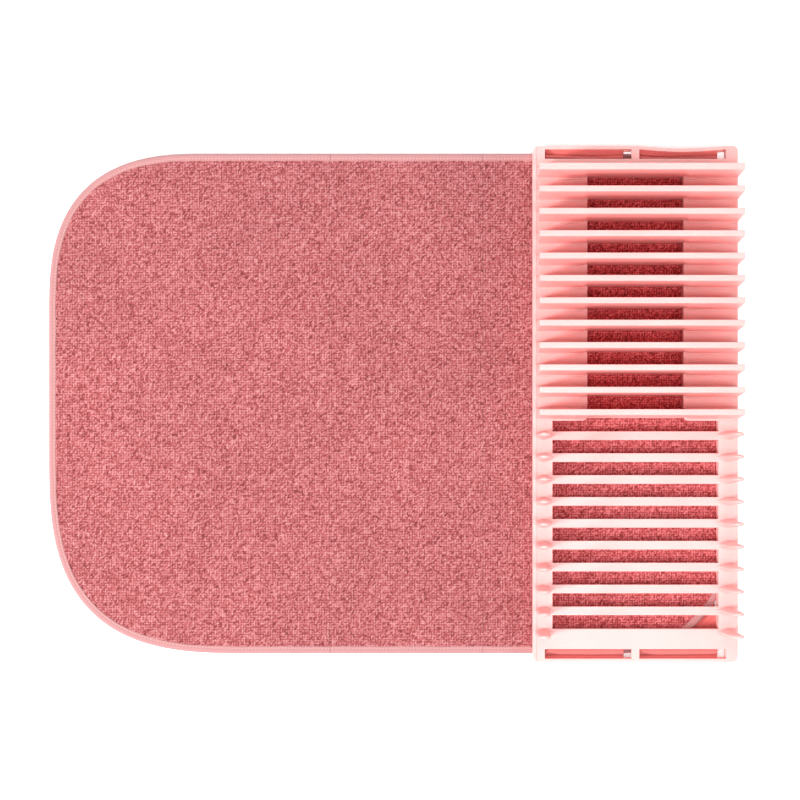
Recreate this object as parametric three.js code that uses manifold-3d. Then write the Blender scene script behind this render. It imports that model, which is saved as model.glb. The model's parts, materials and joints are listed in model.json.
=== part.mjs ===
// Dish drying rack standing on a folding microfibre drying mat. Millimetres, +Z up.
// +X runs along the mat towards the rack's end and +Y along the rack, towards its plate walls.
// The origin is the middle of the base: the mat's underside is z = 0.
import * as THREE from "three";
import { mergeVertices } from "three/addons/utils/BufferGeometryUtils.js";
import Module from "manifold-3d";

const wasm = await Module();
wasm.setup();

// Driving dimensions
const GAP = 0.3; // between two pieces that touch
const BITE = 1; // how far a cut or a joined piece reaches past the face it meets

const MAT = { left: -309, right: 306.5, half: 225, height: 6, skin: 1.2 };
const MAT_CORNERS = { farLeft: 112, nearLeft: 130, farRight: 100, nearRight: 100 };
const BINDING = { width: 6.5, wall: 1.2 };
const FOLDS = { side: 121, cover: 43, flap: -153 }; // X of the mat's fold lines

const RACK = { centre: 217.5, halfWidth: 91.5, halfLength: 230.5, underside: 6.3, deck: 18 };
const RAIL = { width: 17.35, top: 2.5, skirt: 2.2 };
const SHIFT = 1; // the mat and the stations are centred this far in +Y from the middle of the rack's frame
const STATIONS = 22; // 12 plate walls, then 10 pairs of tines
const PITCH = 19.56;
const WALLS = 12;

const WALL = { top: 54, root: 6.4, tip: 5, endTip: 5.5, inset: 3.3, shell: 1.8, coreTop: 44 };
const WINDOW = { wallHalf: 43, bottom: 7 }; // the open strip down the middle, under the plate walls
const SLAT = { width: 7, bottom: 7 };
const TINE = { top: 70, centre: 83, lean: 1.2, rootLong: 6.6, tipLong: 5, rootHalf: 3.5, tipHalf: 1.8 };
const GUSSET = { start: 73, end: 78.5, height: 6, thick: 4.4, bend: 2.5, rise: 1, root: 2.5 };

const END = { farEdge: 213.6, nearEdge: 201, nearRailEdge: 199.3, slot: 219, rim: 3, rimHeight: 4 };
const SLOT = { inner: 3.5, outer: 80.9 }; // along the end plate, from the rack's middle
const ROD = { from: 226.6, to: 229, bottom: 8.6, top: 12.2, round: 0.5 };
const STRAP = { thick: 1, width: 70, starts: [-79.5, 4.5], tail: 176, tailBottom: 0.6 };

const material = (color, roughness) => new THREE.MeshStandardMaterial({ color, roughness, metalness: 0 });
const plastic = () => material(0xf7bdb9, 0.4);
const loopFabric = () => material(0xcd646c, 1);
const flatFabric = () => material(0xd9787c, 0.95);
const foam = () => material(0xf1ded9, 0.9);
const tape = () => material(0xf2b0ae, 0.85);

// Solids

function solidOf(geometry) {
  geometry.deleteAttribute("normal");
  geometry.deleteAttribute("uv");
  const merged = mergeVertices(geometry, 1e-4);
  const vertProperties = merged.attributes.position.array;
  const triVerts = new Uint32Array(merged.index.array);
  return new wasm.Manifold(new wasm.Mesh({ numProp: 3, vertProperties, triVerts }));
}

function geometryOf(solid) {
  const mesh = solid.getMesh();
  const geometry = new THREE.BufferGeometry();
  geometry.setAttribute("position", new THREE.BufferAttribute(mesh.vertProperties, 3));
  geometry.setIndex(new THREE.BufferAttribute(mesh.triVerts, 1));
  geometry.computeVertexNormals();
  return geometry;
}

const shapeOf = (points) => new THREE.Shape(points.map(([x, y]) => new THREE.Vector2(x, y)));

function extrusion(shape, depth, curveSegments = 10) {
  return new THREE.ExtrudeGeometry(shape, { depth, bevelEnabled: false, curveSegments });
}

// A shape drawn in Y and Z, pulled along X.
function alongX(shape, from, to) {
  const axes = [new THREE.Vector3(0, 1, 0), new THREE.Vector3(0, 0, 1), new THREE.Vector3(1, 0, 0)];
  const turned = extrusion(shape, to - from, 3).applyMatrix4(new THREE.Matrix4().makeBasis(...axes));
  return solidOf(turned.translate(from, 0, 0));
}

// A shape drawn in X and Z, pulled along Y.
function alongY(shape, from, to) {
  return solidOf(extrusion(shape, to - from).rotateX(Math.PI / 2).translate(0, to, 0));
}

// A shape drawn in X and Y, pulled along Z.
function alongZ(shape, from, to) {
  return solidOf(extrusion(shape, to - from).translate(0, 0, from));
}

function box([x0, x1], [y0, y1], [z0, z1]) {
  const geometry = new THREE.BoxGeometry(x1 - x0, y1 - y0, z1 - z0);
  return solidOf(geometry.translate((x0 + x1) / 2, (y0 + y1) / 2, (z0 + z1) / 2));
}

function roundedBox(x0, x1, y0, y1, radii) {
  const [nearRight, farRight, farLeft, nearLeft] = radii;
  const shape = new THREE.Shape();
  shape.absarc(x1 - nearRight, y0 + nearRight, nearRight, -Math.PI / 2, 0);
  shape.absarc(x1 - farRight, y1 - farRight, farRight, 0, Math.PI / 2);
  shape.absarc(x0 + farLeft, y1 - farLeft, farLeft, Math.PI / 2, Math.PI);
  shape.absarc(x0 + nearLeft, y0 + nearLeft, nearLeft, Math.PI, Math.PI * 1.5);
  shape.closePath();
  return shape;
}

// An upright wall across the rack: an outline in X and Z whose thickness changes with height.
function upright(outline, thicknessAt) {
  const geometry = extrusion(outline, 1, 5).rotateX(Math.PI / 2).translate(0, 0.5, 0);
  const position = geometry.attributes.position;
  for (let i = 0; i < position.count; i++) {
    position.setY(i, position.getY(i) * thicknessAt(position.getZ(i)));
  }
  return solidOf(geometry);
}

// The mat: four panels, each with two fabrics round a foam core and a binding tape on its outer edge

function matSlab(inset, from, to) {
  const { farLeft, nearLeft, farRight, nearRight } = MAT_CORNERS;
  const radii = [nearRight, farRight, farLeft, nearLeft].map((radius) => radius - inset);
  const x = [MAT.left + inset, MAT.right - inset];
  const y = [inset - MAT.half, MAT.half - inset];
  return alongZ(roundedBox(...x, ...y, radii), from, to);
}

const PANELS = [
  { name: "base_panel", from: FOLDS.side, to: MAT.right + BITE, ends: true },
  { name: "side_panel", from: FOLDS.cover, to: FOLDS.side, ends: false },
  { name: "cover_panel", from: FOLDS.flap, to: FOLDS.cover, ends: false },
  { name: "flap_panel", from: MAT.left - BITE, to: FOLDS.flap, ends: true },
];

function bindingRing() {
  const inside = matSlab(BINDING.width, -BITE, MAT.height + BITE);
  const channel = matSlab(BINDING.wall, BINDING.wall, MAT.height - BINDING.wall);
  return matSlab(0, 0, MAT.height).subtract(inside).subtract(channel);
}

function matPanels() {
  const group = new THREE.Group();
  group.position.y = SHIFT;
  const { height, skin } = MAT;
  const covered = BINDING.width + GAP;
  const layers = [
    ["bottom_fabric", matSlab(covered, 0, skin), flatFabric],
    ["foam_core", matSlab(BINDING.wall + GAP, skin + GAP, height - skin - GAP), foam],
    ["top_fabric", matSlab(covered, height - skin, height), loopFabric],
  ];
  const ring = bindingRing();
  const beyond = MAT.half + BITE;
  for (const { name, from, to, ends } of PANELS) {
    const x = [from + GAP / 2, to - GAP / 2];
    const cut = (whole, y) => whole.intersect(box(x, y, [-BITE, height + BITE]));
    for (const [layer, whole, finish] of layers) {
      group.add(piece(`${name}_${layer}`, cut(whole, [-beyond, beyond]), finish));
    }
    if (ends) {
      group.add(piece(`${name}_binding`, cut(ring, [-beyond, beyond]), tape));
    } else {
      group.add(piece(`${name}_binding_far`, cut(ring, [0, beyond]), tape));
      group.add(piece(`${name}_binding_near`, cut(ring, [-beyond, 0]), tape));
    }
  }
  return group;
}

// The rack's frame, drawn about the rack's own middle

const stationY = (station) => SHIFT + PITCH * ((STATIONS + 1) / 2 - station);
const lastWallY = stationY(WALLS);

// A rail is a channel, open underneath.
function rail(side) {
  const { halfWidth, underside, deck } = RACK;
  const outer = side * halfWidth;
  const inner = side * (halfWidth - RAIL.width);
  const wall = side * RAIL.skirt;
  const ceiling = deck - RAIL.top;
  const section = shapeOf([
    [inner, underside], [inner, deck], [outer, deck], [outer, underside],
    [outer - wall, underside], [outer - wall, ceiling], [inner + wall, ceiling], [inner + wall, underside],
  ]);
  return alongY(section, -END.nearRailEdge + GAP, END.farEdge - GAP);
}

// A tray is the flat floor between a rail and the middle window, with a skirt at the window.
function tray(side) {
  const outer = side * (RACK.halfWidth - RAIL.width - GAP);
  const edge = side * WINDOW.wallHalf;
  const ceiling = RACK.deck - RAIL.top;
  const section = shapeOf([
    [outer, RACK.deck], [outer, ceiling], [edge + side * RAIL.skirt, ceiling],
    [edge + side * RAIL.skirt, RACK.underside], [edge, RACK.underside], [edge, RACK.deck],
  ]);
  return alongY(section, lastWallY - WALL.root / 2, END.farEdge - GAP);
}

// An end plate has two slots and a thin outer rim; seen from the rack's middle, `out` is +1 or -1.
function endPlate(out, edge, railEdge) {
  const { halfWidth, halfLength, underside, deck } = RACK;
  const along = (from, to) => [out * from, out * to].sort((a, b) => a - b);
  const inside = halfWidth - RAIL.width - GAP;
  const height = [underside, deck];
  let plate = box([-halfWidth, halfWidth], along(edge, halfLength), height);
  for (const side of [-1, 1]) {
    const span = (from, to) => [side * from, side * to].sort((a, b) => a - b);
    const slot = span(SLOT.inner, SLOT.outer);
    plate = plate.subtract(box(slot, along(END.slot, halfLength - END.rim), [0, deck + BITE]));
    plate = plate.subtract(box(slot, along(END.slot, halfLength + BITE), [0, deck - END.rimHeight]));
    if (railEdge < edge) plate = plate.add(box(span(inside, halfWidth), along(railEdge, edge + BITE), height));
  }
  return plate;
}

function plateWall(tip) {
  const { top, root, inset, shell, coreTop } = WALL;
  const low = RACK.deck + GAP;
  const slope = (root - tip) / (top - low);
  const thickness = (z) => root - slope * Math.max(z - low, 0);
  const left = -RACK.halfWidth + inset;
  const right = RACK.halfWidth;
  const web = WINDOW.wallHalf - GAP;
  const outline = (cut, roof, floor, ledge) =>
    shapeOf([
      [left + cut, ledge], [cut - web, ledge], [cut - web, floor], [web - cut, floor],
      [web - cut, ledge], [right - cut, ledge], [right - cut, roof], [left + cut, roof],
    ]);
  const skin = upright(outline(0, top, WINDOW.bottom, low), thickness);
  const core = upright(outline(shell, coreTop, 0, low - BITE), (z) => thickness(z) - 2 * shell);
  return skin.subtract(core);
}

function tine(side) {
  const geometry = new THREE.CylinderGeometry(1, 1, 1, 12, 1).rotateX(Math.PI / 2);
  const position = geometry.attributes.position;
  const foot = RACK.deck + GAP;
  for (let i = 0; i < position.count; i++) {
    const t = position.getZ(i) + 0.5;
    const long = TINE.rootLong + (TINE.tipLong - TINE.rootLong) * t;
    const half = TINE.rootHalf + (TINE.tipHalf - TINE.rootHalf) * t;
    const middle = side * (TINE.centre + TINE.lean * t);
    position.setXYZ(i, middle + position.getX(i) * long, position.getY(i) * half, foot + (TINE.top - foot) * t);
  }
  return solidOf(geometry);
}

// The curved foot that runs from a tine's inner edge down to what it stands on.
function gusset(side, floor) {
  const { start, end, height, thick, bend, rise, root } = GUSSET;
  const ledge = RACK.deck + GAP;
  const within = RACK.halfWidth - RAIL.width - GAP;
  const shape = new THREE.Shape();
  shape.moveTo(side * start, floor);
  shape.lineTo(side * start, Math.max(RACK.deck, floor));
  shape.quadraticCurveTo(side * (end - bend), ledge + rise, side * end, ledge + height);
  shape.lineTo(side * (end + root), ledge + height);
  shape.lineTo(side * (end + root), ledge);
  if (floor < ledge) {
    shape.lineTo(side * within, ledge);
    shape.lineTo(side * within, floor);
  }
  return upright(shape, () => thick);
}

function tineFrame() {
  const reach = RACK.halfWidth - RAIL.width - GAP;
  const slat = box([-reach, reach], [-SLAT.width / 2, SLAT.width / 2], [SLAT.bottom, RACK.deck]);
  const sides = [-1, 1].map((side) => tine(side).add(gusset(side, RACK.deck - BITE)));
  return slat.add(sides[0]).add(sides[1]);
}

const endTine = (side) => tine(side).add(gusset(side, RACK.deck + GAP));

// The straps: each loops round a rod under the end plate's rim and is sewn under the mat's edge

const barShape = (grow) => {
  const radius = ROD.round + grow;
  const [y0, y1] = [ROD.from - grow, ROD.to + grow];
  return roundedBox(y0, y1, ROD.bottom - grow, ROD.top + grow, [radius, radius, radius, radius]);
};

const strapRod = ([from, to]) => alongX(barShape(0), from + GAP, to - GAP);

function strap([from, to], matShift) {
  const { thick, tail, tailBottom } = STRAP;
  const legs = [ROD.to - 2 * thick, ROD.to];
  const loop = alongX(barShape(GAP + thick), from, to).subtract(alongX(barShape(GAP), from - BITE, to + BITE));
  const leg = box([from, to], legs, [tailBottom, ROD.bottom - GAP - thick / 2]);
  const tongue = box([from, to], [tail, legs[1]], [tailBottom, tailBottom + 2 * thick]);
  const clearOfMat = matSlab(-GAP, -BITE, MAT.height + GAP).translate(-RACK.centre, matShift, 0);
  return loop.add(leg).add(tongue).subtract(clearOfMat);
}

// Assembly

function piece(name, solid, finish) {
  const mesh = new THREE.Mesh(geometryOf(solid), finish());
  mesh.name = name;
  return mesh;
}

const number = (station) => String(station).padStart(2, "0");

function rackFrame() {
  const group = new THREE.Group();
  for (const [side, word] of [[-1, "inner"], [1, "outer"]]) {
    group.add(piece(`rail_${word}`, rail(side), plastic));
    group.add(piece(`tray_${word}`, tray(side), plastic));
  }
  group.add(piece("end_plate_far", endPlate(1, END.farEdge, END.farEdge), plastic));
  group.add(piece("end_plate_near", endPlate(-1, END.nearEdge, END.nearRailEdge), plastic));
  return group;
}

function rackUprights() {
  const group = new THREE.Group();
  const place = (mesh, station) => {
    mesh.position.y = stationY(station);
    group.add(mesh);
  };
  for (let station = 1; station <= WALLS; station++) {
    const tip = station === 1 ? WALL.endTip : WALL.tip;
    place(piece(`plate_wall_${number(station)}`, plateWall(tip), plastic), station);
  }
  for (let station = WALLS + 1; station < STATIONS; station++) {
    place(piece(`tine_frame_${number(station)}`, tineFrame(), plastic), station);
  }
  place(piece("end_tine_inner", endTine(-1), plastic), STATIONS);
  place(piece("end_tine_outer", endTine(1), plastic), STATIONS);
  return group;
}

function strapsAndRods() {
  const group = new THREE.Group();
  const slots = [
    ["inner", [-SLOT.outer, -SLOT.inner], STRAP.starts[0]],
    ["outer", [SLOT.inner, SLOT.outer], STRAP.starts[1]],
  ];
  for (const [word, slot, start] of slots) {
    for (const [end, mirror] of [["far", false], ["near", true]]) {
      const turned = (solid) => (mirror ? solid.mirror([0, 1, 0]) : solid);
      const matShift = mirror ? -SHIFT : SHIFT;
      group.add(piece(`strap_rod_${end}_${word}`, turned(strapRod(slot)), plastic));
      group.add(piece(`strap_${end}_${word}`, turned(strap([start, start + STRAP.width], matShift)), tape));
    }
  }
  return group;
}

const rack = new THREE.Group();
rack.position.x = RACK.centre;
rack.add(rackFrame(), rackUprights(), strapsAndRods());

const dryingSet = new THREE.Group();
dryingSet.add(matPanels(), rack);

export default dryingSet;
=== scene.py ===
"""Looks for a plate rack that stands on a folding microfibre drying mat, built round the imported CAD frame.

Shapes are worked out in millimetres, in the frame's own axes, and turned into metres as each mesh is made.
"""

import json
import math

import bpy
import numpy as np
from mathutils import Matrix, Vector


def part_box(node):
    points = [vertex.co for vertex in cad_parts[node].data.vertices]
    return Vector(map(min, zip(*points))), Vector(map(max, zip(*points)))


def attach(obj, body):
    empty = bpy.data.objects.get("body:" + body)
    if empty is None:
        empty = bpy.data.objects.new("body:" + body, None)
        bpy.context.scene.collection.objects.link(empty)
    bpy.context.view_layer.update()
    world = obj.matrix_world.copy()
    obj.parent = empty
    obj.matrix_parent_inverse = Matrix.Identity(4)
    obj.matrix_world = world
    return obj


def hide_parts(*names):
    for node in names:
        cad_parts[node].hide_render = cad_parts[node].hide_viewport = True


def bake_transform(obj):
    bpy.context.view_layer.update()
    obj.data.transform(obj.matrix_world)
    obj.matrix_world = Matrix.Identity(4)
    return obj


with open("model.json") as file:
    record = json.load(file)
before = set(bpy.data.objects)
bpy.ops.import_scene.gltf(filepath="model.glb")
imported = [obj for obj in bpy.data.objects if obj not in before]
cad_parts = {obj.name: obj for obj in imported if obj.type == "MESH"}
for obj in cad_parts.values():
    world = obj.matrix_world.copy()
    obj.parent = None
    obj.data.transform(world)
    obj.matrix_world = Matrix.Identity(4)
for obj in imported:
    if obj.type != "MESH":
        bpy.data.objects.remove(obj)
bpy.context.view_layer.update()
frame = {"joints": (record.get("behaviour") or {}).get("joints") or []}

MM = 0.001


# What the frame says, in millimetres


def box_of(node):
    low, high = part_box(node)
    return np.array(low) / MM, np.array(high) / MM


def hinge_x(joint):
    return next(j for j in frame["joints"] if j["name"] == joint)["pos_m"][0] / MM


RACK_LOW = np.minimum(box_of("rail_inner")[0], box_of("end_plate_near")[0])
RACK_HIGH = np.maximum(box_of("rail_outer")[1], box_of("end_plate_far")[1])
RACK_MID = (RACK_LOW[0] + RACK_HIGH[0]) / 2
HALF_WIDTH = (RACK_HIGH[0] - RACK_LOW[0]) / 2
HALF_LENGTH = RACK_HIGH[1]
DECK = box_of("tray_inner")[1][2]
UNDERSIDE = box_of("rail_inner")[0][2]
RAIL_INSIDE = RACK_MID - box_of("rail_inner")[1][0]
WINDOW_HALF = RACK_MID - box_of("tray_inner")[1][0]
FAR_PLATE = box_of("end_plate_far")[0][1]

WALL_NODES = [f"plate_wall_{k:02d}" for k in range(1, 13)]
TINE_NODES = [f"tine_frame_{k:02d}" for k in range(13, 22)]


def middle_y(node):
    low, high = box_of(node)
    return (low[1] + high[1]) / 2


LAST_WALL = middle_y(WALL_NODES[-1])


# The rack's own dimensions, in millimetres

SKIN = 2.4  # thickness of the moulding
EDGE = 0.8  # radius of the moulding's edges
RIM = {"thick": 3.0, "height": 4.0}
LIP = {"width": 3.0, "rise": 0.5}
NEAR_PLATE = 201.0
SLOT = {"inner": 3.5, "outer": 80.9, "edge": 219.0}
PLAN_CORNER = 4.5  # radius of the rack's corners, seen from above
CORNER_TURNS = (10, 20, 32.5)  # degrees round a corner, where lines cross it to round it
RIM_LINES = 13  # lines across each slot, along which its rim can be drawn in
BURIED = 1.2  # how far an upright's foot goes down into the deck
TOUCH = 0.1  # closer than this counts as the same place
LEDGE = 3.3  # the cross-member under the last wall, from the wall's middle
SLAT = {"half": 3.8, "bottom": 7.0}
WALL = {"root": 4.5, "web": 2.9, "tip": 2.6, "end_tip": 2.9, "inset": 3.3, "fillet": 1.7, "round": 0.6}
WEB_BLEND = 4.0  # how far outside the middle window a wall takes to reach its thicker foot
WALL_ROUNDING = (0.0, 0.12, 0.35, 0.65, 1.0)  # distances from a wall's edge, for its rounding
WALL_BLENDING = (0.0, 0.9, 2.4, WEB_BLEND)  # distances outside the window, for its thicker foot
WALL_RISE = (0.25, 0.55, 0.9, 1.3, 1.7, 4.0, 12.0, 24.0)  # heights above the deck, closest at the fillet
WEB_LINE = 12.0  # a height in the middle of a wall's foot in the window
TINE = {"middle": 83.0, "lean": 1.2, "root": (6.6, 3.4), "tip": (5.0, 1.8), "fillet": 0.7, "dome": 6.0}
TINE_SECTION = {"sides": 32, "square": 0.12, "end": 0.02}  # a low "square" is full, "end" is the tip's share
TINE_RISE = (0, 0.2, 0.5, 0.9, 1.4, 2.0, 3.0, 4.2, 5.6, 7.2, 9.0, 11.0, 12.5, 18, 26, 34, 42)
TINE_DOME = (0, 0.25, 0.5, 0.72, 0.9, 1.0)  # shares of the way up the dome
GUSSET = {"reach": 3.6, "height": 6.0, "curve": 2.4}
ROD = {"from": 226.6, "to": 229.0, "round": 0.7, "sides": 20, "lines": 15}
RIM_BOW = 2.2  # how far the far outer rim is drawn in at the middle of its slot

# The straps: "clear" is from the rod to the tape's middle, and "tuck" how far the tail's end is under the mat
STRAP = {"thick": 0.8, "clear": 0.85, "tuck": 0.4, "start": 1.1, "columns": 36, "lowest": 0.05}
TAIL = {"height": 1.1, "rise": 1.4, "turn": 1.2}
# Places on the tape round a rod: how far out from its outermost line, and the height
ROUND_ROD = [(-0.3, 3.6), (0.0, 5.5), (0.15, 7.8), (0.1, 10.6), (-0.35, 12.2), (-1.1, 12.95), (-2.0, 13.15)]
FOLD_PHASES = {"far_inner": 0.3, "far_outer": 1.9, "near_inner": 3.1, "near_outer": 4.6}

# The mat's dimensions, in millimetres

MAT = {"left": -309.0, "right": 306.5, "half": 225.0, "middle": 1.0}
# The reach of each corner along its edges, and the power of its curve: 2 is an arc, more is fuller
CORNERS = {"far_left": 141.3, "near_left": 179.1, "far_right": 100.0, "near_right": 100.0}
POWERS = {"far_left": 2.70, "near_left": 2.92, "far_right": 2.0, "near_right": 2.0}
BINDING = 6.5
LOOP = 2.2  # pitch of the pile's loops
STEP = LOOP / 2
PILE = {
    "base": 5.25,  # the pile's middle height
    "loop": 0.75,  # how far a loop's crown stands over it
    "valley": 0.55,  # how far the deepest point lies under it
    "levels": (0.80, 0.50, 0.20),  # how high a crown, a link between crowns and a gap usually are; the colour paints shade in the gaps and light on the crowns
    "tangle": 0.4,  # how far that varies
    "sunk": 0.09,  # share of the points that are pressed right down, which the colour paints darkest, as shade
    "jitter": 0.3,  # how far a point strays sideways
    "edge": 5.1,  # height under the binding
    "ease_from": 5.0,  # how far inside the mat's edge the pile starts to rise from there
    "ease": 2.5,  # how far it takes to
    "pressed": 0.35,  # how much of its loops is left under the binding
    "seed": 7,
}
PAINTED_RED_UNDER_TINES = 0.42  # how much of the painted red light the mat's colour gets under the tines, where it is 1 under the plate walls
PAINTED_RED_LIGHT_TINT = (1.85, 1.0, 1.0, 1.0)  # painted light: the red tint put into the pile's colour, for light that has come through the rack
HIDDEN_EDGE = 3.2  # how far the pad's edge lies inside the binding
UNDER = {"bottom": 0.2, "top": 1.4, "inset": 4.6, "lines": 9, "overlap": 0.3}
RIPPLE = {"across": 0.22, "up": 0.12, "stitch": 0.16}  # how far sewing moves the tape and its stitches
STITCH = {"pitch": 3.0, "length": 2.1, "width": 0.5, "rise": 0.32, "inset": 4.75, "over": 5.66, "under": 0.36}
STITCH_SHAPE = [(-1.0, 0.25), (-0.75, 0.85), (0.0, 1.0), (0.75, 0.85), (1.0, 0.25)]  # place, thickness
STITCH_SIDES = 6
STITCH_SINK = 0.8  # how far a stitch's ends go down into the tape, as a share of its thickness
PATH_STEP = 1.6
CUTS = (82.0, -55.0)  # where one length of the mat's visible layers ends and the next starts
BEND = {"quarter": 24.0, "half": 16.0}

# The floor and the camera, in millimetres. The camera's frame is centred at y = "centre" on the deck
FLOOR = {"half": 4000, "height": -0.4}
CAMERA = {"x": 7.2, "y": -77.0, "centre": 3.55, "height": 1695.0, "lens": 84.5}


# Meshes


def make(name, points, faces, *materials, smooth=True):
    """A mesh object from points in millimetres, which keeps its flat place for its materials."""
    mesh = bpy.data.meshes.new(name)
    spots = np.asarray(points, float) * MM
    mesh.from_pydata(spots.tolist(), [], [list(face) for face in faces])
    mesh.update()
    mesh.polygons.foreach_set("use_smooth", [smooth] * len(mesh.polygons))
    rest = mesh.attributes.new("rest", "FLOAT_VECTOR", "POINT")
    rest.data.foreach_set("vector", spots.astype(np.float32).ravel())
    for material in materials:
        mesh.materials.append(material)
    made = bpy.data.objects.new(name, mesh)
    bpy.context.scene.collection.objects.link(made)
    return made


def float_attribute(obj, name, values):
    made = obj.data.attributes.new(name, "FLOAT", "POINT")
    made.data.foreach_set("value", np.asarray(values, np.float32).ravel())


def loft(rings):
    """Rings of the same number of points, joined in order, with a flat cap at each end."""
    count = len(rings[0])
    points = np.concatenate(rings)
    faces = []
    for r in range(len(rings) - 1):
        for k in range(count):
            n = (k + 1) % count
            faces.append((r * count + k, r * count + n, (r + 1) * count + n, (r + 1) * count + k))
    last = (len(rings) - 1) * count
    faces.append(tuple(reversed(range(count))))
    faces.append(tuple(range(last, last + count)))
    return points, faces


def joined(parts):
    """Several (points, faces) as one."""
    points, faces, start = [], [], 0
    for some, theirs in parts:
        points.append(np.asarray(some, float))
        faces += [tuple(start + k for k in face) for face in theirs]
        start += len(some)
    return np.concatenate(points), faces


def bevelled(obj, width, segments=3):
    """Rounds an object's edges, and keeps its flat faces looking flat."""
    bevel = obj.modifiers.new("round_edges", "BEVEL")
    bevel.width = width * MM
    bevel.segments = segments
    bevel.limit_method = "ANGLE"
    bevel.angle_limit = math.radians(40)
    bevel.use_clamp_overlap = True
    normals = obj.modifiers.new("flat_faces", "WEIGHTED_NORMAL")
    normals.keep_sharp = True


# Materials


def material(name):
    made = bpy.data.materials.new(name)
    made.use_nodes = True
    tree = made.node_tree
    return made, tree, tree.nodes["Principled BSDF"]


def feed(tree, socket, value):
    """Gives a node's input another node's output, or a plain value."""
    if isinstance(value, bpy.types.NodeSocket):
        tree.links.new(value, socket)
    else:
        socket.default_value = value


def add(tree, kind, settings=None, **inputs):
    """A node, with its settings and its inputs given by name, as values or as other nodes' outputs."""
    node = tree.nodes.new(kind)
    for key, value in (settings or {}).items():
        setattr(node, key, value)
    for key, value in inputs.items():
        feed(tree, node.inputs[key.replace("_", " ")], value)
    return node


def flat_place(tree):
    return add(tree, "ShaderNodeAttribute", {"attribute_name": "rest"}).outputs["Vector"]


def noise(tree, place, scale, detail):
    return add(tree, "ShaderNodeTexNoise", Vector=place, Scale=scale, Detail=detail).outputs["Fac"]


def ramp(tree, factor, *stops):
    """A colour ramp with stops of (position, colour)."""
    node = add(tree, "ShaderNodeValToRGB", Fac=factor)
    elements = node.color_ramp.elements
    while len(elements) < len(stops):
        elements.new(0.5)
    for element, (position, colour) in zip(elements, stops):
        element.position = position
        element.color = (*colour, 1.0)
    return node.outputs["Color"]


def between(tree, factor, low, high):
    node = add(tree, "ShaderNodeMapRange", Value=factor)
    node.inputs["To Min"].default_value = low
    node.inputs["To Max"].default_value = high
    return node.outputs["Result"]


def bumped(tree, shader, height, strength, distance):
    bump = add(tree, "ShaderNodeBump", Height=height, Strength=strength, Distance=distance)
    tree.links.new(bump.outputs["Normal"], shader.inputs["Normal"])


def mixed(tree, kind, factor, a, b):
    """Two colours mixed. The node's colour sockets are its inputs 6 and 7 and its output 2."""
    node = add(tree, "ShaderNodeMix", {"data_type": "RGBA", "blend_type": kind})
    for socket, value in zip((node.inputs[0], node.inputs[6], node.inputs[7]), (factor, a, b)):
        feed(tree, socket, value)
    return node.outputs[2]


def math_node(tree, operation, a, b):
    node = add(tree, "ShaderNodeMath", {"operation": operation})
    for socket, value in zip(node.inputs, (a, b)):
        feed(tree, socket, value)
    return node.outputs["Value"]


def rack_plastic():
    """Satin moulded plastic: faint flow marks in the colour, a fine grain and uneven gloss."""
    made, tree, shader = material("satin_plastic")
    place = flat_place(tree)
    flow = noise(tree, place, 14.0, 2.0)
    colour = ramp(tree, flow, (0.3, (0.955, 0.46, 0.44)), (0.7, (0.975, 0.505, 0.485)))
    tree.links.new(colour, shader.inputs["Base Color"])
    gloss = noise(tree, place, 90.0, 4.0)
    tree.links.new(between(tree, gloss, 0.34, 0.52), shader.inputs["Roughness"])
    bumped(tree, shader, noise(tree, place, 1400.0, 2.0), 0.12, 0.0002)
    shader.inputs["Subsurface Weight"].default_value = 0.3
    shader.inputs["Subsurface Radius"].default_value = (1.0, 0.2, 0.16)
    shader.inputs["Subsurface Scale"].default_value = 0.005
    return made


def loop_pile():
    """Looped microfibre with a fibrous surface: the fibre's own red, with painted shade between the loops and
    painted light on their crowns.

    Painted light: its colour is made redder where the rack covers it, for the light that comes through the
    plastic.
    """
    made, tree, shader = material("loop_pile")
    place = flat_place(tree)
    height = add(tree, "ShaderNodeAttribute", {"attribute_name": "pile"}).outputs["Fac"]
    fibres = noise(tree, place, 900.0, 3.0)
    level = math_node(tree, "ADD", height, math_node(tree, "MULTIPLY", fibres, 0.5))
    level = math_node(tree, "SUBTRACT", level, 0.25)
    # Painted shade and light: the colour darkens with the pile's level into the gaps and pales on the crowns.
    loops = ramp(
        tree,
        level,
        (0.05, (0.15, 0.006, 0.008)),
        (0.35, (0.33, 0.050, 0.056)),
        (0.65, (0.45, 0.130, 0.137)),
        (0.95, (0.60, 0.265, 0.272)),
    )
    patches = noise(tree, place, 9.0, 3.0)
    shade = ramp(tree, patches, (0.3, (0.90, 0.88, 0.88)), (0.7, (1.0, 1.0, 1.0)))
    colour = mixed(tree, "MULTIPLY", 1.0, loops, shade)
    # Painted light: the colour is tinted red where the rack covers the mat, for light through the plastic.
    painted_red_light = add(tree, "ShaderNodeAttribute", {"attribute_name": "painted_red_light"}).outputs["Fac"]
    colour = mixed(tree, "MULTIPLY", painted_red_light, colour, PAINTED_RED_LIGHT_TINT)
    tree.links.new(colour, shader.inputs["Base Color"])
    shader.inputs["Roughness"].default_value = 0.95
    shader.inputs["Sheen Weight"].default_value = 0.6
    shader.inputs["Sheen Roughness"].default_value = 0.6
    shader.inputs["Sheen Tint"].default_value = (1.0, 0.75, 0.75, 1.0)
    bumped(tree, shader, fibres, 0.6, 0.0006)
    return made


def rows(tree, place, axis, pitch):
    """Fine ribs across one axis, at a pitch in millimetres."""
    wave_turn = 20  # radians that the wave turns for each unit, at a scale of 1
    scale = 2 * math.pi / (wave_turn * pitch * MM)
    found = add(tree, "ShaderNodeTexWave", {"bands_direction": axis}, Vector=place, Scale=scale)
    found.inputs["Distortion"].default_value = 0.6
    return found.outputs["Fac"]


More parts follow.
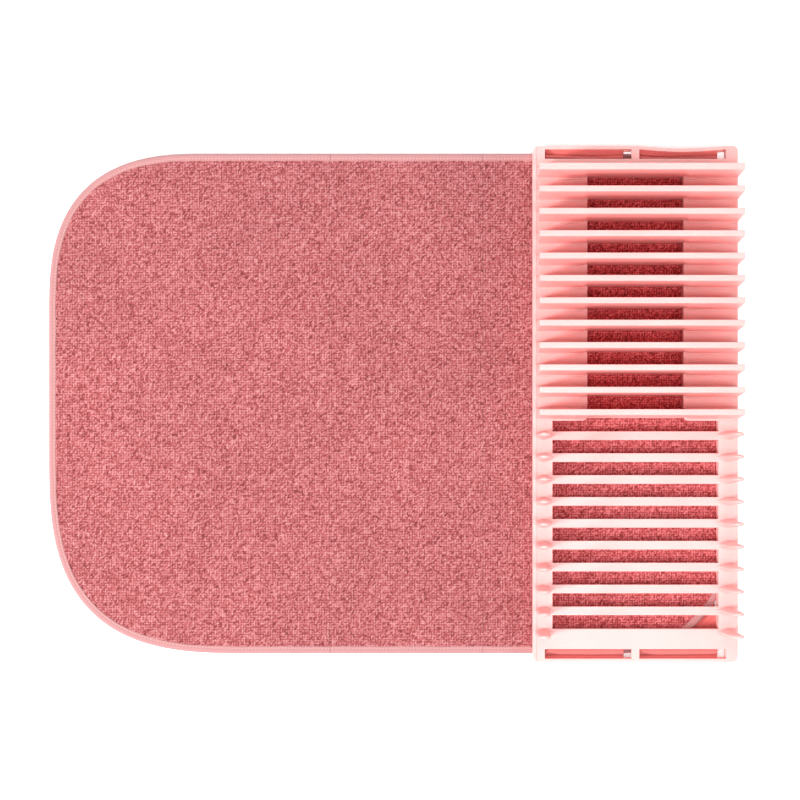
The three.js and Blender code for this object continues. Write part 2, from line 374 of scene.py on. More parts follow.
def flat_knit():
    """The mat's underside: a close flat knit of fine ribs and courses."""
    made, tree, shader = material("flat_knit")
    place = flat_place(tree)
    knit = math_node(tree, "MULTIPLY", rows(tree, place, "X", 1.1), rows(tree, place, "Y", 1.5))
    fibres = noise(tree, place, 1500.0, 2.0)
    tone = math_node(tree, "ADD", knit, math_node(tree, "MULTIPLY", fibres, 0.4))
    colour = ramp(tree, tone, (0.1, (0.45, 0.095, 0.11)), (0.9, (0.65, 0.20, 0.21)))
    tree.links.new(colour, shader.inputs["Base Color"])
    shader.inputs["Roughness"].default_value = 0.9
    shader.inputs["Sheen Weight"].default_value = 0.2
    bumped(tree, shader, tone, 0.5, 0.0004)
    return made


def woven_tape(name, pale, deep, weave_share):
    """Narrow woven tape: fine warp and weft in the tape's own directions, over its fibres."""
    made, tree, shader = material(name)
    place = add(tree, "ShaderNodeAttribute", {"attribute_name": "tape"}).outputs["Vector"]
    weave = math_node(tree, "MULTIPLY", rows(tree, place, "X", 0.9), rows(tree, place, "Y", 0.7))
    fibres = noise(tree, place, 700.0, 3.0)
    fibres = math_node(tree, "MULTIPLY", fibres, 1.0 - weave_share)
    tone = math_node(tree, "ADD", math_node(tree, "MULTIPLY", weave, weave_share), fibres)
    tree.links.new(ramp(tree, tone, (0.2, deep), (0.7, pale)), shader.inputs["Base Color"])
    shader.inputs["Roughness"].default_value = 0.8
    shader.inputs["Sheen Weight"].default_value = 0.25
    bumped(tree, shader, tone, 0.45, 0.0003)
    return made


def thread():
    """Sewing thread with a fine twist."""
    made, tree, shader = material("sewing_thread")
    place = flat_place(tree)
    twist = noise(tree, place, 2200.0, 2.0)
    colour = ramp(tree, twist, (0.3, (0.58, 0.29, 0.25)), (0.7, (0.72, 0.38, 0.34)))
    tree.links.new(colour, shader.inputs["Base Color"])
    shader.inputs["Roughness"].default_value = 0.6
    bumped(tree, shader, twist, 0.5, 0.0002)
    return made


def studio_white():
    """The floor. It glows a little, so that shadows on it stay faint."""
    made, _, shader = material("studio_white")
    shader.inputs["Base Color"].default_value = (0.9, 0.9, 0.9, 1.0)
    shader.inputs["Roughness"].default_value = 0.9
    shader.inputs["Emission Color"].default_value = (1.0, 0.99, 0.99, 1.0)
    shader.inputs["Emission Strength"].default_value = 0.3
    return made


PLASTIC = rack_plastic()
PILE_CLOTH = loop_pile()
KNIT = flat_knit()
BINDING_TAPE = woven_tape("binding_tape", (0.56, 0.29, 0.29), (0.44, 0.19, 0.19), 0.6)
STRAP_TAPE = woven_tape("strap_tape", (0.78, 0.19, 0.17), (0.64, 0.12, 0.11), 0.3)
THREAD = thread()


# The rack's frame: rails, trays, end plates and slats, moulded in one


def moulded_cells(xs, ys, zs, filled):
    """The skin of the filled cells of a grid of straight lines."""
    xs, ys, zs = (sorted(set(round(v, 4) for v in lines)) for lines in (xs, ys, zs))
    centre = [[(a + b) / 2 for a, b in zip(lines, lines[1:])] for lines in (xs, ys, zs)]
    shape = [len(c) for c in centre]
    solid = np.zeros([n + 2 for n in shape], bool)
    for i, x in enumerate(centre[0]):
        for j, y in enumerate(centre[1]):
            for k, z in enumerate(centre[2]):
                solid[i + 1, j + 1, k + 1] = filled(x, y, z)
    index, points, faces = {}, [], []

    def corner(i, j, k):
        if (i, j, k) not in index:
            index[i, j, k] = len(points)
            points.append((xs[i], ys[j], zs[k]))
        return index[i, j, k]

    sides = [
        ((1, 0, 0), [(1, 0, 0), (1, 1, 0), (1, 1, 1), (1, 0, 1)]),
        ((-1, 0, 0), [(0, 0, 0), (0, 0, 1), (0, 1, 1), (0, 1, 0)]),
        ((0, 1, 0), [(0, 1, 0), (0, 1, 1), (1, 1, 1), (1, 1, 0)]),
        ((0, -1, 0), [(0, 0, 0), (1, 0, 0), (1, 0, 1), (0, 0, 1)]),
        ((0, 0, 1), [(0, 0, 1), (1, 0, 1), (1, 1, 1), (0, 1, 1)]),
        ((0, 0, -1), [(0, 0, 0), (0, 1, 0), (1, 1, 0), (1, 0, 0)]),
    ]
    for i, j, k in np.argwhere(solid):
        for (a, b, c), square in sides:
            if not solid[i + a, j + b, k + c]:
                faces.append([corner(i - 1 + u, j - 1 + v, k - 1 + w) for u, v, w in square])
    return points, faces


def rim_bow(x):
    """How far the far outer slot's rim is drawn in at x: the tape round it is tight there."""
    share = (x - RACK_MID - SLOT["inner"]) / (SLOT["outer"] - SLOT["inner"])
    return RIM_BOW * math.sin(math.pi * share) if 0 < share < 1 else 0.0


def rounded_plan(points):
    """The frame's four outer corners, drawn in to arcs."""
    middle = np.array([HALF_WIDTH, HALF_LENGTH]) - PLAN_CORNER
    for point in points:
        beyond = np.abs(point[:2]) - middle
        far = np.hypot(*beyond)
        if (beyond > 0).all() and far > PLAN_CORNER:
            point[:2] = np.sign(point[:2]) * (middle + beyond * PLAN_CORNER / far)
    return points


def deck_frame():
    """The frame as one hollow moulding, open underneath, with its edges rounded."""
    slats = [middle_y(node) for node in TINE_NODES]
    tray_end = LAST_WALL - LEDGE
    rim_inside = HALF_LENGTH - RIM["thick"]
    ceiling = DECK - SKIN
    rim_bottom = DECK - RIM["height"]
    lip_inside = HALF_WIDTH - LIP["width"]

    def plan(x, y, margin=0.0):
        """Whether the deck is solid at x, y, and at least a margin from its edges."""
        across, along = abs(x), abs(y)
        if across > HALF_WIDTH - margin or along > HALF_LENGTH - margin:
            return False
        if SLOT["inner"] - margin < across < SLOT["outer"] + margin:
            if SLOT["edge"] - margin < along < rim_inside + margin:
                return False
        if across > RAIL_INSIDE + margin or y > FAR_PLATE + margin or y < -NEAR_PLATE - margin:
            return True
        if y > tray_end + margin and (across > WINDOW_HALF + margin or y < LAST_WALL - margin):
            return True
        return any(abs(y - slat) < SLAT["half"] - margin for slat in slats)

    def filled(x, y, z):
        if z > DECK:
            return x < -lip_inside and abs(x) < HALF_WIDTH and abs(y) < HALF_LENGTH
        if not plan(x, y):
            return False
        over_slot = abs(y) > rim_inside and SLOT["inner"] < abs(x) < SLOT["outer"]
        if over_slot:
            return z > rim_bottom
        return z > ceiling or not plan(x, y, SKIN)

    corner = PLAN_CORNER * (1 - np.tan(np.radians(CORNER_TURNS)))
    half_xs = [
        *(HALF_WIDTH - corner), HALF_WIDTH, HALF_WIDTH - SKIN, lip_inside, SLOT["outer"] + SKIN,
        SLOT["outer"], RAIL_INSIDE + SKIN, RAIL_INSIDE, WINDOW_HALF + SKIN, WINDOW_HALF, SLOT["inner"],
    ]
    half_ys = [HALF_LENGTH, *(HALF_LENGTH - corner), rim_inside, SLOT["edge"]]
    xs = [side * x for side in (-1, 1) for x in half_xs]
    xs += np.linspace(SLOT["inner"], SLOT["outer"], RIM_LINES)[1:-1].tolist()
    ys = [side * y for side in (-1, 1) for y in half_ys]
    ys += [FAR_PLATE, -NEAR_PLATE, -NEAR_PLATE - SKIN, -SLOT["edge"] + SKIN]
    ys += [tray_end, tray_end + SKIN, LAST_WALL]
    ys += [slat + side * SLAT["half"] for slat in slats for side in (-1, 1)]
    zs = [UNDERSIDE, rim_bottom, ceiling, DECK, DECK + LIP["rise"]]
    points, faces = moulded_cells(xs, ys, zs, filled)
    points = rounded_plan(np.array(points)) + [RACK_MID, 0, 0]
    for point in points:
        if point[1] > rim_inside - TOUCH:
            point[1] -= rim_bow(point[0])
    made = make("deck_frame", points, faces, PLASTIC)
    bevelled(made, EDGE)
    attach(made, "rack_and_base")
    ends = ("end_plate_far", "end_plate_near")
    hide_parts("rail_inner", "rail_outer", "tray_inner", "tray_outer", *ends)


# The uprights


def fillet(height, radius):
    """How far a concave fillet still stands out at a height over the surface it runs into."""
    if height >= radius:
        return 0.0
    reach = radius - max(height, 0.0)
    return radius - math.sqrt(max(radius**2 - reach**2, 0.0))


def rounded(depth, radius):
    """How far a rounded edge has drawn in at a depth from its end."""
    if depth >= radius:
        return 0.0
    return radius - math.sqrt(max(radius**2 - (radius - depth) ** 2, 0.0))


def upright(xs, zs, present, half):
    """A closed upright plate, whose half thickness follows its height and its place along X."""
    points, faces, index = [], [], {}

    def corner(i, k, side):
        if (i, k, side) not in index:
            index[i, k, side] = len(points)
            points.append((xs[i], side * half(xs[i], zs[k]), zs[k]))
        return index[i, k, side]

    cells = [
        (i, k)
        for i in range(len(xs) - 1)
        for k in range(len(zs) - 1)
        if present((xs[i] + xs[i + 1]) / 2, (zs[k] + zs[k + 1]) / 2)
    ]
    known = set(cells)
    for i, k in cells:
        square = [(i, k), (i + 1, k), (i + 1, k + 1), (i, k + 1)]
        faces.append([corner(a, b, -1) for a, b in square])
        faces.append([corner(a, b, 1) for a, b in reversed(square)])
        for (di, dk), (a, b) in zip([(0, -1), (1, 0), (0, 1), (-1, 0)], zip(square, square[1:] + square[:1])):
            if (i + di, k + dk) not in known:
                faces.append([corner(*b, -1), corner(*a, -1), corner(*a, 1), corner(*b, 1)])
    return points, faces


def plate_wall(number, node):
    """A wall that tapers upwards, with a fillet at its foot. In the window it goes down as a thin web."""
    low, high = box_of(node)
    top, web_bottom = high[2], low[2]
    left, right = WALL["inset"] - HALF_WIDTH, HALF_WIDTH
    tip = WALL["end_tip"] if number == 1 else WALL["tip"]
    foot = DECK - BURIED
    radius = WALL["round"]

    def half(x, z):
        height = z - DECK
        outside = min(max((abs(x) - WINDOW_HALF) / WEB_BLEND, 0.0), 1.0)
        root = WALL["web"] + (WALL["root"] - WALL["web"]) * outside
        base = root - (root - tip) * max(height, 0.0) / (top - DECK)
        if abs(x) > WINDOW_HALF:
            base += fillet(height, WALL["fillet"])
        base -= rounded(top - z, radius) + rounded(z - web_bottom, radius)
        return base - rounded(min(x - left, right - x), radius)

    def present(x, z):
        return z > foot or abs(x) < WINDOW_HALF

    web = WINDOW_HALF
    xs = [left + step for step in WALL_ROUNDING] + [-web - step for step in reversed(WALL_BLENDING)]
    xs += [-web / 2, 0, web / 2]
    xs += [web + step for step in WALL_BLENDING] + [right - step for step in reversed(WALL_ROUNDING)]
    zs = [web_bottom + step for step in WALL_ROUNDING] + [WEB_LINE, foot, DECK]
    zs += [DECK + step for step in WALL_RISE] + [top - step for step in reversed(WALL_ROUNDING)]
    points, faces = upright(xs, zs, present, half)
    place = [RACK_MID, middle_y(node), 0]
    made = make(f"moulded_wall_{number:02d}", np.array(points) + place, faces, PLASTIC)
    finish_upright(made, node)


def finish_upright(made, node):
    """What every piece of the moulding that stands on the deck frame has."""
    normals = made.modifiers.new("flat_faces", "WEIGHTED_NORMAL")
    normals.keep_sharp = True
    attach(made, "rack_and_base")
    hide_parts(node)


def tine(side, top):
    """A tapering tine of lens section, with a foot that sweeps in towards the rack's middle."""
    full = top - DECK
    dome = TINE["dome"]
    heights = [-BURIED, *TINE_RISE]
    heights += [full - dome * (1 - math.sin(t * math.pi / 2)) for t in TINE_DOME]
    rings = []
    for height in heights:
        share = max(height, 0) / full
        long, wide = (a + (b - a) * share for a, b in zip(TINE["root"], TINE["tip"]))
        flare = fillet(height, TINE["fillet"])
        up = max(0.0, 1 - (full - height) / dome)
        shrink = math.sqrt(max(1 - up**2, TINE_SECTION["end"]))
        tail = GUSSET["reach"] * max(1 - max(height, 0) / GUSSET["height"], 0) ** GUSSET["curve"]
        middle = TINE["middle"] + TINE["lean"] * share
        ring = []
        for k in range(TINE_SECTION["sides"]):
            turn = 2 * math.pi * k / TINE_SECTION["sides"]
            across, along = math.cos(turn), math.sin(turn)
            reach = (long + (flare if across < 0 else 0.0)) * shrink
            if across < 0:
                reach += tail * across**4
            bulge = (wide + flare) * math.sqrt(shrink) * abs(along) ** TINE_SECTION["square"]
            ring.append((side * (middle + across * reach), bulge * along, DECK + height))
        rings.append(np.array(ring if side > 0 else ring[::-1]))
    return loft(rings)


def tines():
    """Ten pairs of tines. The last pair stands on the near end plate, as nodes of their own."""
    sides = ((-1, "inner"), (1, "outer"))
    numbered = enumerate(TINE_NODES, start=13)
    every = [(number, side, word, node) for number, node in numbered for side, word in sides]
    every += [(22, side, word, f"end_tine_{word}") for side, word in sides]
    for number, side, word, node in every:
        points, faces = tine(side, box_of(node)[1][2])
        place = [RACK_MID, middle_y(node), 0]
        made = make(f"moulded_tine_{number}_{word}", points + place, faces, PLASTIC)
        finish_upright(made, node)


# The mat's outline


def mat_edge_arc(corner):
    """A corner's middle, its reach and the direction it starts in, going round against the clock."""
    far, right = corner.startswith("far"), corner.endswith("right")
    radius = CORNERS[corner]
    x = MAT["right"] - radius if right else MAT["left"] + radius
    y = MAT["half"] - radius if far else radius - MAT["half"]
    start = {(False, True): -90, (True, True): 0, (True, False): 90, (False, False): 180}[far, right]
    return x, y, radius, math.radians(start)


def half_depth(x, far, inset=0.0):
    """How far the mat reaches from its middle line at x, on its far or its near side."""
    side = "far" if far else "near"
    for corner in (f"{side}_left", f"{side}_right"):
        middle, _, radius, _ = mat_edge_arc(corner)
        beyond = x - middle if corner.endswith("right") else middle - x
        if beyond > 0:
            if beyond >= radius - inset:
                return 0.0
            power, reach = POWERS[corner], radius - inset
            return MAT["half"] - radius + (reach**power - beyond**power) ** (1 / power)
    return MAT["half"] - inset


def straight(start, end, step):
    """Points from start up to but without end, with the direction that faces out."""
    a, b = np.array(start, float), np.array(end, float)
    count = max(1, round(np.linalg.norm(b - a) / step))
    along = (b - a) / np.linalg.norm(b - a)
    out = (along[1], -along[0])
    return [(*(a + (b - a) * k / count), *out) for k in range(count)]


def turned(corner, step):
    """A corner's points, with the direction that faces out. It eases into the edges on both sides."""
    x, y, radius, start = mat_edge_arc(corner)
    count = round(radius * math.pi / 2 / step)
    turns = start + math.pi / 2 * np.arange(count) / count
    ways = np.stack([np.cos(turns), np.sin(turns)], 1)
    spots = np.sign(ways) * np.abs(ways) ** (2 / POWERS[corner])
    out = np.sign(ways) * np.abs(ways) ** (2 - 2 / POWERS[corner])
    out /= np.linalg.norm(out, axis=1)[:, None]
    return [(x + radius * u, y + radius * v, *way) for (u, v), way in zip(spots, out)]


def outline_paths(step=PATH_STEP):
    """The mat's edge in the lengths that its binding is made in, going round against the clock."""
    near, far = -MAT["half"], MAT["half"]
    arcs = {corner: mat_edge_arc(corner) for corner in CORNERS}
    c1, c2 = CUTS
    end = [(c1, far, 0.0, 1.0)]
    base = straight((c1, near), (arcs["near_right"][0], near), step) + turned("near_right", step)
    base += straight((MAT["right"], arcs["near_right"][1]), (MAT["right"], arcs["far_right"][1]), step)
    base += turned("far_right", step) + straight((arcs["far_right"][0], far), (c1, far), step) + end
    flap = straight((c2, far), (arcs["far_left"][0], far), step) + turned("far_left", step)
    flap += straight((MAT["left"], arcs["far_left"][1]), (MAT["left"], arcs["near_left"][1]), step)
    flap += turned("near_left", step) + straight((arcs["near_left"][0], near), (c2, near), step)
    flap += [(c2, near, 0.0, -1.0)]
    return {
        "base": base,
        "cover_far": straight((c1, far), (c2, far), step) + [(c2, far, 0.0, 1.0)],
        "cover_near": straight((c2, near), (c1, near), step) + [(c1, near, 0.0, -1.0)],
        "flap": flap,
    }


# The mat's pieces, worked out about the mat's own middle line


def on_mat(points):
    """Points given about the mat's middle line, in the frame's axes."""
    return np.array(points, float) + [0.0, MAT["middle"], 0.0]


def ripple(x, y):
    """A slow unevenness of about -1 to 1 that sewing leaves along an edge."""
    return 0.6 * math.sin(x / 9.3 + y / 7.1) + 0.4 * math.sin(x / 4.1 - y / 5.3 + 1.7)


BINDING_SECTION = [
    (0.30, 0.90), (0.00, 2.20), (0.00, 3.70), (0.30, 4.90), (0.95, 5.70), (1.90, 6.08), (3.00, 6.15),
    (3.90, 6.00), (4.45, 5.72), (4.75, 5.55), (5.05, 5.66), (5.50, 5.80), (6.05, 5.76), (6.45, 5.52),
    (6.60, 5.15), (6.30, 4.90), (4.00, 4.85), (1.60, 4.60), (0.95, 3.00), (1.60, 1.20), (4.00, 0.95),
    (6.20, 0.90), (6.45, 0.50), (6.20, 0.06), (5.20, 0.00), (4.75, 0.12), (4.30, 0.00), (1.80, 0.00),
    (0.80, 0.30),
]


def along_tape(obj, count, lengths, section):
    """Gives a swept tape its own directions: its length along X and its width along Y."""
    across = np.concatenate([[0], np.cumsum(np.linalg.norm(np.diff(section, axis=0), axis=1))])
    spots = np.zeros((len(lengths), count, 3), np.float32)
    spots[:, :, 0] = np.array(lengths)[:, None] * MM
    spots[:, :, 1] = across[None, :] * MM
    made = obj.data.attributes.new("tape", "FLOAT_VECTOR", "POINT")
    made.data.foreach_set("vector", spots.ravel())


def path_lengths(path):
    spots = np.array(path)[:, :2]
    return np.concatenate([[0], np.cumsum(np.linalg.norm(np.diff(spots, axis=0), axis=1))])


def binding(word, path):
    """The folded tape, swept along a length of the mat's edge."""
    tape_top = 5
    rings = []
    for x, y, out_x, out_y in path:
        wave = ripple(x, y)
        ring = []
        for inset, z in BINDING_SECTION:
            drawn = inset + RIPPLE["across"] * wave * (inset / BINDING)
            lift = RIPPLE["up"] * wave if z > tape_top else 0.0
            ring.append((x - out_x * drawn, y - out_y * drawn, z + lift))
        rings.append(np.array(ring))
    points, faces = loft([ring[::-1] for ring in rings])
    made = make(f"binding_{word}", on_mat(points), faces, BINDING_TAPE)
    section = np.array(BINDING_SECTION[::-1])
    along_tape(made, len(section), path_lengths(path), section)
    return made


def stitches(word, path):
    """Two rows of stitches, over and under, each a short rounded bar sunk in the binding's groove."""
    lengths = path_lengths(path)
    spots = np.array(path)
    parts = []
    count = int(lengths[-1] // STITCH["pitch"])
    for k in range(count):
        at = (k + 0.5) * lengths[-1] / count
        x, y, out_x, out_y = (np.interp(at, lengths, spots[:, c]) for c in range(4))
        out = np.array([out_x, out_y]) / math.hypot(out_x, out_y)
        ahead = np.array([-out[1], out[0]])
        middle = np.array([x, y]) - out * (STITCH["inset"] + RIPPLE["stitch"] * ripple(x, y))
        over = STITCH["over"] + RIPPLE["up"] * ripple(x, y)
        for z, up in ((over, 1), (STITCH["under"], -1)):
            rings = []
            for t, size in STITCH_SHAPE:
                spot = middle + ahead * t * STITCH["length"] / 2
                drop = (1 - size) * STITCH["rise"] * STITCH_SINK * up
                ring = []
                for n in range(STITCH_SIDES):
                    turn = 2 * math.pi * n / STITCH_SIDES
                    side = out * math.cos(turn) * STITCH["width"] * size
                    ring.append((*(spot + side), z - drop + math.sin(turn) * STITCH["rise"] * size))
                rings.append(np.array(ring[::-1]))
            parts.append(loft(rings))
    points, faces = joined(parts)
    made = make(f"stitches_{word}", on_mat(points), faces, THREAD)
    return made


def pile_field():
    """The pile as one grid over the whole mat, with crowns, links and gaps by turns, each a little astray."""
    right = CUTS[0] + STEP * math.floor((MAT["right"] - HIDDEN_EDGE - CUTS[0]) / STEP)
    left = CUTS[0] - STEP * math.floor((CUTS[0] - MAT["left"] - HIDDEN_EDGE) / STEP)
    xs = left + STEP * np.arange(round((right - left) / STEP) + 1)
    reach = STEP * math.floor((MAT["half"] - HIDDEN_EDGE) / STEP)
    ys = -reach + STEP * np.arange(round(2 * reach / STEP) + 1)
    draw = np.random.RandomState(PILE["seed"])
    shape = (len(xs), len(ys))
    odd_x, odd_y = (np.arange(shape[0]) % 2)[:, None], (np.arange(shape[1]) % 2)[None, :]
    crown = (odd_x * odd_y) > 0
    link = (odd_x + odd_y) == 1
    high, halfway, low = PILE["levels"]
    level = np.where(crown, high, np.where(link, halfway, low)) + PILE["tangle"] * draw.uniform(-1, 1, shape)
    level = np.where(draw.uniform(0, 1, shape) < PILE["sunk"], 0.0, np.clip(level, 0, 1))
    grid_x, grid_y = np.meshgrid(xs, ys, indexing="ij")
    shift = PILE["jitter"] * draw.uniform(-1, 1, (2, *shape))
    # Two slow waves, so that the cloth isn't flat
    slow = 0.18 * np.sin(grid_x / 31 + 0.4) * np.sin(grid_y / 43) + 0.1 * np.sin(grid_x / 17 - grid_y / 23)
    return {"xs": xs, "ys": ys, "level": level, "shift": shift, "slow": slow, "x": grid_x, "y": grid_y}


def painted_red_light_share(points):
    """How much painted red light each point's colour gets, for light that has come through the rack: most
    under the plate walls.
    """
    x, y = on_mat(points)[:, :2].T
    under = np.clip((x - RACK_MID + HALF_WIDTH) / (HALF_WIDTH - RAIL_INSIDE), 0, 1)
    return under * np.where(y > LAST_WALL, 1.0, PAINTED_RED_UNDER_TINES)


def edge_distance(x, y):
    """How far a point is inside the mat's edge."""
    distance = min(x - MAT["left"], MAT["right"] - x, MAT["half"] - abs(y))
    for corner in CORNERS:
        arc_x, arc_y, radius, _ = mat_edge_arc(corner)
        beyond_x = x - arc_x if corner.endswith("right") else arc_x - x
        beyond_y = y - arc_y if corner.startswith("far") else arc_y - y
        if beyond_x > 0 and beyond_y > 0:
            power = POWERS[corner]
            return radius - (beyond_x**power + beyond_y**power) ** (1 / power)
    return distance


def pad_columns(xs, ys, x_from, x_to):
    """The first column of the grid that a length of the pad fills, and every column's span of lines."""
    first, last = (int(np.argmin(abs(xs - x))) for x in (x_from, x_to))
    spans = []
    for i in range(first, last):
        x = (xs[i] + xs[i + 1]) / 2
        low = -half_depth(x, False, HIDDEN_EDGE)
        high = half_depth(x, True, HIDDEN_EDGE)
        inside = np.nonzero((ys[:-1] >= low) & (ys[1:] <= high))[0]
        spans.append((inside[0], inside[-1] + 1) if len(inside) else None)
    while spans and spans[0] is None:
        spans.pop(0)
        first += 1
    while spans and spans[-1] is None:
        spans.pop()
    return first, spans


def pile_points(field, i, j, at_rim):
    """The pile's points at crossings i, j of its grid. Those on the rim stay in line."""
    grid_x, grid_y, level = field["x"][i, j], field["y"][i, j], field["level"][i, j]
    edge = np.array([edge_distance(x, y) for x, y in zip(grid_x, grid_y)])
    rise = np.clip((edge - PILE["ease_from"]) / PILE["ease"], 0, 1)
    rise = rise * rise * (3 - 2 * rise)
    base = PILE["edge"] + (PILE["base"] - PILE["edge"]) * rise + field["slow"][i, j] * rise
    at_cut = at_rim & (edge > HIDDEN_EDGE + 2 * STEP)
    height = np.where(level > 0.5, (level - 0.5) * 2 * PILE["loop"], (level - 0.5) * 2 * PILE["valley"])
    height = height * (PILE["pressed"] + (1 - PILE["pressed"]) * rise)
    z = np.where(at_rim & ~at_cut, PILE["edge"], base + height)
    move = np.where(at_rim, 0, 1)
    shift_x, shift_y = field["shift"][:, i, j] * move
    return list(zip(grid_x + shift_x, grid_y + shift_y, z))


def pad_back(spans, top, xs, ys):
    """The flat back that closes a pad, and its sides, numbered on from the points of its top."""
    start = int(top.max()) + 1
    index, points, faces = {}, [], []

    def behind(c, j):
        if (c, j) not in index:
            index[c, j] = start + len(points)
            points.append((xs[c], ys[j], UNDER["top"] - UNDER["overlap"]))
        return index[c, j]

    for c, (low, high) in enumerate(spans):
        left = spans[c - 1] if c else None
        right = spans[c + 1] if c + 1 < len(spans) else None
        up_left = sorted({low, high} | ({j for j in left if low < j < high} if left else set()))
        up_right = sorted({low, high} | ({j for j in right if low < j < high} if right else set()))
        faces.append([behind(c, j) for j in up_left] + [behind(c + 1, j) for j in reversed(up_right)])
        faces.append([behind(c, low), behind(c + 1, low), top[c + 1, low], top[c, low]])
        faces.append([behind(c + 1, high), behind(c, high), top[c, high], top[c + 1, high]])
        for at, ends, beside, flip in ((c, up_left, left, False), (c + 1, up_right, right, True)):
            for a, b in zip(ends, ends[1:]):
                if beside and beside[0] <= a and b <= beside[1]:
                    continue
                ring = [behind(at, b), behind(at, a)] + [int(top[at, j]) for j in range(a, b + 1)]
                faces.append(ring[::-1] if flip else ring)
    return points, faces


def pad(word, field, x_from, x_to):
    """A length of the mat's pad: the looped cloth over its foam, closed by a flat back in the underside."""
    xs, ys = field["xs"], field["ys"]
    first, spans = pad_columns(xs, ys, x_from, x_to)
    columns = len(spans)
    top = -np.ones((columns + 1, len(ys)), int)
    for c in range(columns + 1):
        beside = [spans[k] for k in (c - 1, c) if 0 <= k < columns]
        top[c, min(s[0] for s in beside):max(s[1] for s in beside) + 1] = 0
    whole = top >= 0
    top[whole] = np.arange(whole.sum())
    faces = []
    cell = np.zeros((columns + 2, len(ys) + 1), bool)
    for c, (low, high) in enumerate(spans):
        here, there = slice(low, high), slice(low + 1, high + 1)
        faces += np.stack([top[c, here], top[c + 1, here], top[c + 1, there], top[c, there]], 1).tolist()
        cell[c + 1, low + 1:high + 1] = True
    around = cell[:-1, :-1] & cell[1:, :-1] & cell[:-1, 1:] & cell[1:, 1:]
    i, j = np.nonzero(whole)
    points = pile_points(field, first + i, j, ~around[i, j])
    hidden, back = pad_back(spans, top, xs[first:], ys)
    points += hidden
    made = make(f"pad_{word}", on_mat(points), faces + back, PILE_CLOTH)
    hidden_level = 0.4
    level = field["level"][first + i, j]
    # The pile's level, which the colour uses for painted shade in the gaps and painted light on the crowns.
    float_attribute(made, "pile", np.concatenate([level, np.full(len(hidden), hidden_level)]))
    # Painted light: how much red tint the pile's colour gets under the rack.
    float_attribute(made, "painted_red_light", painted_red_light_share(points))
    return made


def underside(word, x_from, x_to, step=PATH_STEP):
    """A length of the flat knitted cloth under the foam."""
    low = max(x_from, MAT["left"] + BINDING)
    high = min(x_to, MAT["right"] - BINDING)
    xs = np.linspace(low, high, max(2, round((high - low) / step)) + 1)
    shares = np.linspace(0, 1, UNDER["lines"])
    rings = []
    for x in xs:
        near, far = -half_depth(x, False, UNDER["inset"]), half_depth(x, True, UNDER["inset"])
        across = near + (far - near) * shares
        ring = [(x, y, UNDER["bottom"]) for y in across] + [(x, y, UNDER["top"]) for y in across[::-1]]
        rings.append(np.array(ring))
    points, faces = loft(rings)
    made = make(f"underside_{word}", on_mat(points), [face[::-1] for face in faces], KNIT, smooth=False)
    return made


def bend(obj, parent, child, joint, reach):
    """Bakes a length of the mat's place into its mesh. It finds the fold's hinge, but turns nothing over it.
    """
    x = hinge_x(joint) * MM
    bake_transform(obj)


def mat():
    """The mat in three lengths, cut at its folds."""
    field = pile_field()
    paths = outline_paths()
    c1, c2 = CUTS
    c2 = c1 - STEP * round((c1 - c2) / STEP)
    lengths = [
        ("base", c1, MAT["right"], ("rack_and_base", "side_panel", "side_fold", BEND["quarter"]), ["base"]),
        (
            "cover", c2, c1, ("side_panel", "cover_panel", "cover_fold", BEND["quarter"]),
            ["cover_far", "cover_near"],
        ),
        ("flap", MAT["left"], c2, ("cover_panel", "flap_panel", "flap_fold", BEND["half"]), ["flap"]),
    ]
    replaced = {
        "base": ["base_panel", "side_panel"],
        "cover": ["cover_panel"],
        "flap": ["flap_panel"],
    }
    for word, low, high, joint, edges in lengths:
        top = pad(word, field, low, high)
        back = underside(word, low, high)
        bend(top, *joint)
        bend(back, *joint)
        for panel in replaced[word]:
            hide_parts(f"{panel}_top_fabric", f"{panel}_foam_core")
            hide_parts(f"{panel}_bottom_fabric")
        for edge in edges:
            tape = binding(edge, paths[edge])
            sewn = stitches(edge, paths[edge])
            bend(tape, *joint)
            bend(sewn, *joint)
            if word == "base":
                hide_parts("base_panel_binding", "side_panel_binding_far", "side_panel_binding_near")
            elif word == "cover":
                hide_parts("cover_panel_binding_" + edge.split("_")[1])
            else:
                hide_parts("flap_panel_binding")


# The straps


def far_fold(t, slow, slower):
    """The tape's height across a far slot, t from rod to deck: a deep groove, and a dip at the deck."""
    groove, groove_width = 0.45 + 0.12 * slow, 0.17
    depth = 2.6 + 0.7 * slower
    top = 12.2 + 0.5 * slower
    dip, dip_width = 1.6, 0.25
    z = top - depth * math.exp(-(((t - groove) / groove_width) ** 2))
    return z - dip * max(t - 1 + dip_width, 0) / dip_width


def near_fold(t, slow, slower):
    """The tape's height across a near slot: a fall beside the rod, then a long rise to the deck."""
    groove, rise_width = 0.12 + 0.04 * slow, 0.75
    low, top = 7.6, 15.6 + 0.3 * slower
    fall, fall_width = 3.5, 0.10
    z = low + (top - low) * (0.5 - 0.5 * math.cos(math.pi * min(max((t - groove) / rise_width, 0), 1)))
    return z + fall * math.exp(-((t / fall_width) ** 2))


def strap_line(x, far, phase, bow):
    """The tape's line in a slot, as (distance from the rack's middle, height).

    It comes out under the mat's edge, goes up round the rod and fills the slot in soft lengthwise folds.
    """
    edge = half_depth(x, far) + (MAT["middle"] if far else -MAT["middle"]) - STRAP["tuck"]
    slow = math.sin(x / 13.0 + phase)
    slower = math.sin(x / 21.0 + 2 * phase)
    out = ROD["to"] + STRAP["clear"] - bow
    inner = ROD["from"] - STRAP["clear"] - bow
    deck = SLOT["edge"] + 0.75
    shares = np.linspace(0, 1, 8)
    line = [(edge + (out - TAIL["turn"] - edge) * t, TAIL["height"] + TAIL["rise"] * t**3) for t in shares]
    line += [(out + across, z) for across, z in ROUND_ROD] + [(inner + 1.0, 12.95)]
    fold = far_fold if far else near_fold
    line += [(inner + (deck + 0.3 - inner) * t, fold(t, slow, slower)) for t in np.linspace(0.08, 1, 13)]
    last = line[-1][1]
    line += [(deck, last - 0.8), (deck - 0.15, last - 2.0), (deck - 0.15, 7.4)]
    return np.array(line)


